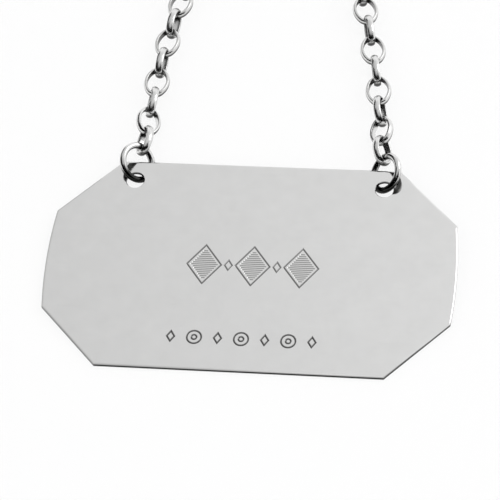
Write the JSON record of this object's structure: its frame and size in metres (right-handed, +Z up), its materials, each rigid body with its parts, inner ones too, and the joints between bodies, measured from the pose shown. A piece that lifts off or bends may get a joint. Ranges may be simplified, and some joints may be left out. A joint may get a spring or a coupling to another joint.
{
  "type": "wine label",
  "caption": "Octagonal silver name plate with bowed ends, hung from jump rings on a closed belcher chain that loops over the neck of a bottle or decanter.",
  "frame": {"origin": "on the table under the middle of the whole outline, the label lying face up with its chain laid out behind it", "axes": "+X to the right across the plate, +Y from the plate's lower edge towards the far end of the chain, +Z up from the table"},
  "size_m": [0.055, 0.0962, 0.0044],
  "materials": {
    "plate_silver": "polished silver sheet with fine handling scratches",
    "wire_silver": "polished silver wire, darker in the crevices"
  },
  "bodies": {
    "label_plate": {"label_plate": "plate_silver"},
    "left_ring": {"left_ring": "wire_silver"},
    "right_ring": {"right_ring": "wire_silver"},
    "left_link_1": {"left_link_1": "wire_silver"},
    "left_link_2": {"left_link_2": "wire_silver"},
    "left_link_3": {"left_link_3": "wire_silver"},
    "left_link_4": {"left_link_4": "wire_silver"},
    "left_link_5": {"left_link_5": "wire_silver"},
    "left_link_6": {"left_link_6": "wire_silver"},
    "left_link_7": {"left_link_7": "wire_silver"},
    "left_link_8": {"left_link_8": "wire_silver"},
    "left_link_9": {"left_link_9": "wire_silver"},
    "left_link_10": {"left_link_10": "wire_silver"},
    "left_link_11": {"left_link_11": "wire_silver"},
    "left_link_12": {"left_link_12": "wire_silver"},
    "left_link_13": {"left_link_13": "wire_silver"},
    "left_link_14": {"left_link_14": "wire_silver"},
    "left_link_15": {"left_link_15": "wire_silver"},
    "left_link_16": {"left_link_16": "wire_silver"},
    "left_link_17": {"left_link_17": "wire_silver"},
    "left_link_18": {"left_link_18": "wire_silver"},
    "far_link": {"far_link": "wire_silver"},
    "right_link_1": {"right_link_1": "wire_silver"},
    "right_link_2": {"right_link_2": "wire_silver"},
    "right_link_3": {"right_link_3": "wire_silver"},
    "right_link_4": {"right_link_4": "wire_silver"},
    "right_link_5": {"right_link_5": "wire_silver"},
    "right_link_6": {"right_link_6": "wire_silver"},
    "right_link_7": {"right_link_7": "wire_silver"},
    "right_link_8": {"right_link_8": "wire_silver"},
    "right_link_9": {"right_link_9": "wire_silver"},
    "right_link_10": {"right_link_10": "wire_silver"},
    "right_link_11": {"right_link_11": "wire_silver"},
    "right_link_12": {"right_link_12": "wire_silver"},
    "right_link_13": {"right_link_13": "wire_silver"},
    "right_link_14": {"right_link_14": "wire_silver"},
    "right_link_15": {"right_link_15": "wire_silver"},
    "right_link_16": {"right_link_16": "wire_silver"},
    "right_link_17": {"right_link_17": "wire_silver"},
    "right_link_18": {"right_link_18": "wire_silver"}
  },
  "joints": [
    {"name": "left_ring_swing", "type": "hinge", "parent": "label_plate", "child": "left_ring", "pos_m": [-0.017, -0.01835, 0.00139], "axis": [1, -0.0015, 0], "range_deg": [-42, 4]},
    {"name": "right_ring_swing", "type": "hinge", "parent": "label_plate", "child": "right_ring", "pos_m": [0.017, -0.0184, 0.00139], "axis": [1, -0.0015, 0], "range_deg": [-42, 4]},
    {"name": "left_link_1_fold", "type": "hinge", "parent": "left_ring", "child": "left_link_1", "pos_m": [-0.01645, -0.01467, 0.00186], "axis": [-1, 0.0076, 0], "range_deg": [-45, 3]},
    {"name": "right_link_1_fold", "type": "hinge", "parent": "right_ring", "child": "right_link_1", "pos_m": [0.01645, -0.01492, 0.00186], "axis": [-1, 0.0076, 0], "range_deg": [-45, 3]},
    {"name": "left_link_2_fold", "type": "hinge", "parent": "left_link_1", "child": "left_link_2", "pos_m": [-0.01648, -0.0114, 0.00216], "axis": [1, -0.0072, 0], "range_deg": [-17, 15]},
    {"name": "right_link_2_fold", "type": "hinge", "parent": "right_link_1", "child": "right_link_2", "pos_m": [0.01615, -0.01164, 0.00216], "axis": [1, -0.0072, 0], "range_deg": [-17, 15]},
    {"name": "left_link_3_fold", "type": "hinge", "parent": "left_link_2", "child": "left_link_3", "pos_m": [-0.01639, -0.00663, 0.00166], "axis": [-1, 0.0072, 0], "range_deg": [-11, 10]},
    {"name": "right_link_3_fold", "type": "hinge", "parent": "right_link_2", "child": "right_link_3", "pos_m": [0.01559, -0.00686, 0.00166], "axis": [-1, 0.0072, 0], "range_deg": [-11, 10]},
    {"name": "left_link_4_fold", "type": "hinge", "parent": "left_link_3", "child": "left_link_4", "pos_m": [-0.01629, -0.00441, 0.0019], "axis": [1, -0.0065, 0], "range_deg": [-45, 38]},
    {"name": "right_link_4_fold", "type": "hinge", "parent": "right_link_3", "child": "right_link_4", "pos_m": [0.01527, -0.00462, 0.0019], "axis": [1, -0.0065, 0], "range_deg": [-45, 38]},
    {"name": "left_link_5_fold", "type": "hinge", "parent": "left_link_4", "child": "left_link_5", "pos_m": [-0.016, 0.00006, 0.0018], "axis": [-1, 0.0066, 0], "range_deg": [-45, 45]},
    {"name": "right_link_5_fold", "type": "hinge", "parent": "right_link_4", "child": "right_link_5", "pos_m": [0.01455, -0.00014, 0.0018], "axis": [-1, 0.0066, 0], "range_deg": [-45, 45]},
    {"name": "left_link_6_fold", "type": "hinge", "parent": "left_link_5", "child": "left_link_6", "pos_m": [-0.01579, 0.00245, 0.0018], "axis": [1, -0.0058, 0], "range_deg": [-45, 45]},
    {"name": "right_link_6_fold", "type": "hinge", "parent": "right_link_5", "child": "right_link_6", "pos_m": [0.01411, 0.00228, 0.0018], "axis": [1, -0.0058, 0], "range_deg": [-45, 45]},
    {"name": "left_link_7_fold", "type": "hinge", "parent": "left_link_6", "child": "left_link_7", "pos_m": [-0.01523, 0.00733, 0.0018], "axis": [-1, 0.0062, 0], "range_deg": [-45, 45]},
    {"name": "right_link_7_fold", "type": "hinge", "parent": "right_link_6", "child": "right_link_7", "pos_m": [0.01312, 0.00715, 0.0018], "axis": [-1, 0.0062, 0], "range_deg": [-45, 45]},
    {"name": "left_link_8_fold", "type": "hinge", "parent": "left_link_7", "child": "left_link_8", "pos_m": [-0.01494, 0.00946, 0.0018], "axis": [1, -0.0051, 0], "range_deg": [-36, 36]},
    {"name": "right_link_8_fold", "type": "hinge", "parent": "right_link_7", "child": "right_link_8", "pos_m": [0.01263, 0.00932, 0.0018], "axis": [1, -0.0051, 0], "range_deg": [-36, 36]},
    {"name": "left_link_9_fold", "type": "hinge", "parent": "left_link_8", "child": "left_link_9", "pos_m": [-0.01412, 0.0144, 0.0018], "axis": [-1, 0.0058, 0], "range_deg": [-21, 32]},
    {"name": "right_link_9_fold", "type": "hinge", "parent": "right_link_8", "child": "right_link_9", "pos_m": [0.01142, 0.01425, 0.0018], "axis": [-1, 0.0058, 0], "range_deg": [-21, 32]},
    {"name": "left_link_10_fold", "type": "hinge", "parent": "left_link_9", "child": "left_link_10", "pos_m": [-0.01371, 0.01651, 0.0018], "axis": [1, -0.0046, 0], "range_deg": [-21, 21]},
    {"name": "right_link_10_fold", "type": "hinge", "parent": "right_link_9", "child": "right_link_10", "pos_m": [0.01084, 0.0164, 0.0018], "axis": [1, -0.0046, 0], "range_deg": [-21, 21]},
    {"name": "left_link_11_fold", "type": "hinge", "parent": "left_link_10", "child": "left_link_11", "pos_m": [-0.01274, 0.02149, 0.0018], "axis": [-1, 0.0054, 0], "range_deg": [-19, 26]},
    {"name": "right_link_11_fold", "type": "hinge", "parent": "right_link_10", "child": "right_link_11", "pos_m": [0.00953, 0.02137, 0.0018], "axis": [-1, 0.0054, 0], "range_deg": [-19, 26]},
    {"name": "left_link_12_fold", "type": "hinge", "parent": "left_link_11", "child": "left_link_12", "pos_m": [-0.01232, 0.02362, 0.0018], "axis": [1, -0.0041, 0], "range_deg": [-21, 19]},
    {"name": "right_link_12_fold", "type": "hinge", "parent": "right_link_11", "child": "right_link_12", "pos_m": [0.00896, 0.02353, 0.0018], "axis": [1, -0.0041, 0], "range_deg": [-21, 19]},
    {"name": "left_link_13_fold", "type": "hinge", "parent": "left_link_12", "child": "left_link_13", "pos_m": [-0.01131, 0.02859, 0.0018], "axis": [-1, 0.0048, 0], "range_deg": [-19, 28]},
    {"name": "right_link_13_fold", "type": "hinge", "parent": "right_link_12", "child": "right_link_13", "pos_m": [0.00768, 0.0285, 0.0018], "axis": [-1, 0.0048, 0], "range_deg": [-19, 28]},
    {"name": "left_link_14_fold", "type": "hinge", "parent": "left_link_13", "child": "left_link_14", "pos_m": [-0.01086, 0.03081, 0.0018], "axis": [1, -0.0035, 0], "range_deg": [-21, 25]},
    {"name": "right_link_14_fold", "type": "hinge", "parent": "right_link_13", "child": "right_link_14", "pos_m": [0.00711, 0.03075, 0.0018], "axis": [1, -0.0035, 0], "range_deg": [-21, 25]},
    {"name": "left_link_15_fold", "type": "hinge", "parent": "left_link_14", "child": "left_link_15", "pos_m": [-0.0098, 0.03567, 0.0018], "axis": [-1, 0.0039, 0], "range_deg": [-20, 36]},
    {"name": "right_link_15_fold", "type": "hinge", "parent": "right_link_14", "child": "right_link_15", "pos_m": [0.00587, 0.03561, 0.0018], "axis": [-1, 0.0039, 0], "range_deg": [-20, 36]},
    {"name": "left_link_16_fold", "type": "hinge", "parent": "left_link_15", "child": "left_link_16", "pos_m": [-0.00925, 0.03796, 0.0018], "axis": [1, -0.0026, 0], "range_deg": [-36, 32]},
    {"name": "right_link_16_fold", "type": "hinge", "parent": "right_link_15", "child": "right_link_16", "pos_m": [0.00525, 0.03793, 0.0018], "axis": [1, -0.0026, 0], "range_deg": [-36, 32]},
    {"name": "left_link_17_fold", "type": "hinge", "parent": "left_link_16", "child": "left_link_17", "pos_m": [-0.00766, 0.04277, 0.0018], "axis": [-1, 0.0029, 0], "range_deg": [-29, 0]},
    {"name": "right_link_17_fold", "type": "hinge", "parent": "right_link_16", "child": "right_link_17", "pos_m": [0.00356, 0.04273, 0.0018], "axis": [-1, 0.0029, 0], "range_deg": [-29, 0]},
    {"name": "left_link_18_fold", "type": "hinge", "parent": "left_link_17", "child": "left_link_18", "pos_m": [-0.00631, 0.04507, 0.0018], "axis": [1, -0.0017, 0], "range_deg": [0, 24]},
    {"name": "right_link_18_fold", "type": "hinge", "parent": "right_link_17", "child": "right_link_18", "pos_m": [0.00219, 0.04506, 0.0018], "axis": [1, -0.0017, 0], "range_deg": [0, 24]},
    {"name": "far_link_rock", "type": "hinge", "parent": "left_link_18", "child": "far_link", "pos_m": [-0.00261, 0.0479, 0.0015], "axis": [-1, -0.0021, 0], "range_deg": [-16, 0]}
  ],
  "couplings": [
    {"joint": "right_ring_swing", "follows": "left_ring_swing", "ratio": 1},
    {"joint": "right_link_1_fold", "follows": "left_link_1_fold", "ratio": 1},
    {"joint": "right_link_2_fold", "follows": "left_link_2_fold", "ratio": 1},
    {"joint": "right_link_3_fold", "follows": "left_link_3_fold", "ratio": 1},
    {"joint": "right_link_4_fold", "follows": "left_link_4_fold", "ratio": 1},
    {"joint": "right_link_5_fold", "follows": "left_link_5_fold", "ratio": 1},
    {"joint": "right_link_6_fold", "follows": "left_link_6_fold", "ratio": 1},
    {"joint": "right_link_7_fold", "follows": "left_link_7_fold", "ratio": 1},
    {"joint": "right_link_8_fold", "follows": "left_link_8_fold", "ratio": 1},
    {"joint": "right_link_9_fold", "follows": "left_link_9_fold", "ratio": 1},
    {"joint": "right_link_10_fold", "follows": "left_link_10_fold", "ratio": 1},
    {"joint": "right_link_11_fold", "follows": "left_link_11_fold", "ratio": 1},
    {"joint": "right_link_12_fold", "follows": "left_link_12_fold", "ratio": 1},
    {"joint": "right_link_13_fold", "follows": "left_link_13_fold", "ratio": 1},
    {"joint": "right_link_14_fold", "follows": "left_link_14_fold", "ratio": 1},
    {"joint": "right_link_15_fold", "follows": "left_link_15_fold", "ratio": 1},
    {"joint": "right_link_16_fold", "follows": "left_link_16_fold", "ratio": 1},
    {"joint": "right_link_17_fold", "follows": "left_link_17_fold", "ratio": 1},
    {"joint": "right_link_18_fold", "follows": "left_link_18_fold", "ratio": 1}
  ]
}
